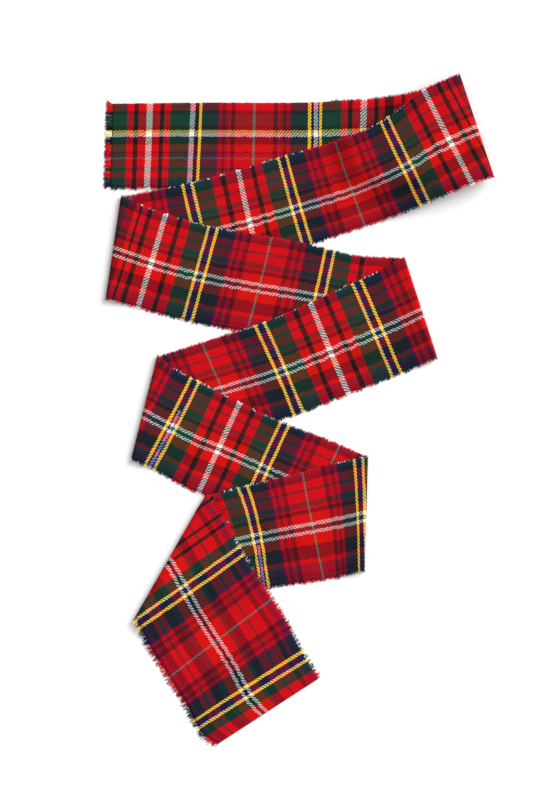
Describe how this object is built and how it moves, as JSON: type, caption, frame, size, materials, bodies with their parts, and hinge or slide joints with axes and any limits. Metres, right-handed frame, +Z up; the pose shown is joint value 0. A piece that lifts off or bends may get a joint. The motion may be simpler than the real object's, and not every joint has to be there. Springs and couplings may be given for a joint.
{
  "type": "tartan cloth strip",
  "caption": "Long narrow strip of tartan wool twill with frayed edges, lying flat in a zigzag of folds, for use as a sash, wrap or tie.",
  "frame": {"origin": "on the surface the strip lies on, under the middle of its bounding box", "axes": "+Z up from the surface, +Y from the last lay towards the first, +X to the right with the first lay at the top"},
  "size_m": [0.3654, 0.6292, 0.014],
  "materials": {
    "tartan_wool": "matte wool twill with a tartan of scarlet, dark green, navy, yellow and white",
    "loose_yarn": "loose wool yarn ends in the colours of the stripes"
  },
  "bodies": {
    "root": {"lay_1": "tartan_wool", "lay_1_rise": "tartan_wool", "lay_2": "tartan_wool", "lay_3": "tartan_wool", "lay_4": "tartan_wool", "lay_5": "tartan_wool", "lay_6": "tartan_wool", "lay_7": "tartan_wool", "fold_1": "tartan_wool", "fold_2": "tartan_wool", "fold_3": "tartan_wool", "fold_4": "tartan_wool", "fold_5": "tartan_wool", "fold_6": "tartan_wool", "fray_1_end": "loose_yarn", "fray_1_far": "loose_yarn", "fray_1_near": "loose_yarn", "fray_2_far": "loose_yarn", "fray_2_near": "loose_yarn", "fray_3_far": "loose_yarn", "fray_3_near": "loose_yarn", "fray_4_far": "loose_yarn", "fray_4_near": "loose_yarn", "fray_5_far": "loose_yarn", "fray_5_near": "loose_yarn", "fray_6_far": "loose_yarn", "fray_6_near": "loose_yarn", "fray_7_far": "loose_yarn", "fray_7_near": "loose_yarn"}
  },
  "joints": []
}
